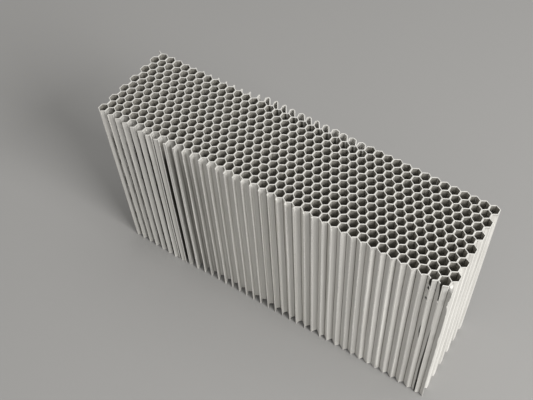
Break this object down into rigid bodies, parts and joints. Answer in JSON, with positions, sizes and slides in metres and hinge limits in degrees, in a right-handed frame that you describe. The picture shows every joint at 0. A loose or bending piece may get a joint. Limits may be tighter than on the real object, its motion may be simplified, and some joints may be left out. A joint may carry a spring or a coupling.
{
  "type": "honeycomb crash absorber",
  "caption": "Block of aluminium honeycomb from corrugated foils bonded side by side, crushed along its cells to absorb impact energy.",
  "frame": {"origin": "middle of the bottom sawn end, on the surface the block stands on", "axes": "+X along the length, across the bonded foils; +Y along the foils; +Z along the cells, upwards"},
  "size_m": [0.2132, 0.0588, 0.125],
  "materials": {
    "aluminium_foil": "bare satin foil with fine rolling lines along the cells and bright burred saw edges"
  },
  "bodies": {
    "root": {"foil_pair_01": "aluminium_foil", "foil_pair_02": "aluminium_foil", "foil_pair_03": "aluminium_foil", "foil_pair_04": "aluminium_foil", "foil_pair_05": "aluminium_foil", "foil_pair_06": "aluminium_foil", "foil_pair_07": "aluminium_foil", "foil_pair_08": "aluminium_foil", "foil_pair_09": "aluminium_foil", "foil_pair_10": "aluminium_foil", "foil_pair_11": "aluminium_foil", "foil_pair_12": "aluminium_foil", "foil_pair_13": "aluminium_foil", "foil_pair_14": "aluminium_foil", "foil_pair_15": "aluminium_foil", "foil_pair_16": "aluminium_foil", "foil_pair_17": "aluminium_foil", "foil_pair_18": "aluminium_foil", "foil_pair_19": "aluminium_foil", "foil_pair_20": "aluminium_foil", "foil_pair_21": "aluminium_foil", "foil_pair_22": "aluminium_foil", "foil_pair_23": "aluminium_foil", "foil_pair_24": "aluminium_foil", "foil_pair_25": "aluminium_foil", "foil_pair_26": "aluminium_foil", "foil_pair_27": "aluminium_foil", "foil_pair_28": "aluminium_foil", "foil_pair_29": "aluminium_foil", "foil_pair_30": "aluminium_foil", "foil_pair_31": "aluminium_foil", "foil_pair_32": "aluminium_foil", "foil_pair_33": "aluminium_foil", "foil_pair_34": "aluminium_foil", "foil_pair_35": "aluminium_foil", "foil_pair_36": "aluminium_foil", "foil_pair_37": "aluminium_foil", "foil_pair_38": "aluminium_foil", "foil_pair_39": "aluminium_foil", "foil_pair_40": "aluminium_foil"}
  },
  "joints": []
}
